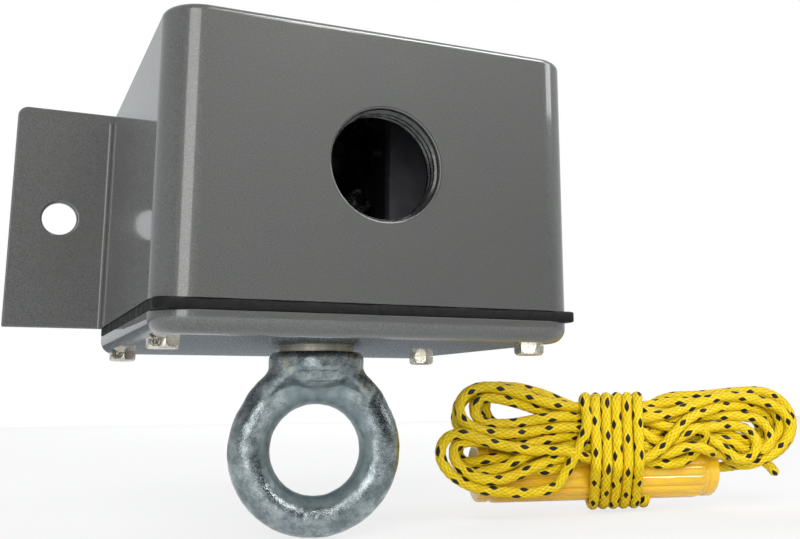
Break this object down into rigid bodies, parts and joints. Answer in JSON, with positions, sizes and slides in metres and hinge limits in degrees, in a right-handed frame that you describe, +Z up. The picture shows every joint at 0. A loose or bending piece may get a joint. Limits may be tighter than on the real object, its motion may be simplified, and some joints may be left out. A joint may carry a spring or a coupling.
{
  "type": "rope pull switch",
  "caption": "Rope pull switch: a steel wall box with a conduit entry, a sprung pull eye under its lid that trips a snap switch inside, and a rope with a grip handle.",
  "frame": {"origin": "midway between the two wall holes, on the wall plate's back face", "axes": "+Z up, +Y into the wall, -Y towards the conduit entry, +X to the right seen from the front"},
  "size_m": [0.3012, 0.1245, 0.147],
  "materials": {
    "grey_hammer_paint": "metallic grey powder coat",
    "black_rubber": "matt",
    "nickel_steel": "nickel plated",
    "bush_alloy": "plain turned",
    "zinc_steel": "zinc plated, rough",
    "bright_steel": "turned",
    "black_oxide": "blackened and oiled",
    "spring_steel": "drawn wire",
    "black_moulding": "moulded",
    "grey_moulding": "moulded",
    "terminal_brass": "stamped",
    "green_earth": "green passivated",
    "amber_handle": "glossy moulded",
    "yellow_rope": "braided, with black flecks"
  },
  "bodies": {
    "box": {"housing": "grey_hammer_paint", "wall_plate": "grey_hammer_paint", "conduit_hub": "grey_hammer_paint", "rim_flange": "grey_hammer_paint", "weld_nuts": "nickel_steel", "gasket": "black_rubber", "lid": "grey_hammer_paint", "lid_screws": "nickel_steel", "guide_bush": "bush_alloy", "seal_washer": "black_rubber", "bush_nut": "nickel_steel", "wiper_ring": "black_rubber", "switch_bracket": "black_oxide", "switch_case": "black_moulding", "switch_cover": "grey_moulding", "switch_screws": "nickel_steel", "lever_pin": "black_oxide", "terminal_tabs": "terminal_brass", "terminal_screws": "nickel_steel", "ground_stud": "green_earth", "handle_grip": "amber_handle", "handle_collars": "amber_handle", "rope_hank": "yellow_rope"},
    "carriage": {"spring_seat": "black_oxide", "stop_sleeve": "bush_alloy", "return_spring": "spring_steel"},
    "pull_rod": {"pull_eye": "zinc_steel", "pull_shaft": "bright_steel", "trip_cam": "black_oxide", "shaft_nuts": "black_oxide"},
    "lever": {"switch_lever": "black_oxide", "roller_pin": "black_oxide"},
    "roller": {"lever_roller": "bright_steel"},
    "plunger": {"switch_plunger": "black_moulding"}
  },
  "joints": [
    {"name": "pull_travel", "type": "slide", "parent": "box", "child": "carriage", "axis": [0, 0, -1], "range_m": [0, 0.008], "stiffness_N_per_m": 2500, "springref_m": -0.014, "deforming": ["return_spring"]},
    {"name": "eye_swivel", "type": "hinge", "parent": "carriage", "child": "pull_rod", "pos_m": [0, -0.06325, -0.008], "axis": [0, 0, 1], "continuous": true},
    {"name": "lever_swing", "type": "hinge", "parent": "box", "child": "lever", "pos_m": [0.0161, -0.06325, 0.02995], "axis": [0, -1, 0], "range_deg": [0, 6.09]},
    {"name": "roller_turn", "type": "hinge", "parent": "lever", "child": "roller", "pos_m": [0.01359, -0.06325, 0.00195], "axis": [0, 1, 0], "continuous": true},
    {"name": "plunger_travel", "type": "slide", "parent": "box", "child": "plunger", "axis": [1, 0, 0], "range_m": [0, 0.00106]}
  ],
  "couplings": [
    {"joint": "lever_swing", "follows": "pull_travel", "rad_per_m": 13.29},
    {"joint": "plunger_travel", "follows": "pull_travel", "ratio": 0.13265}
  ]
}
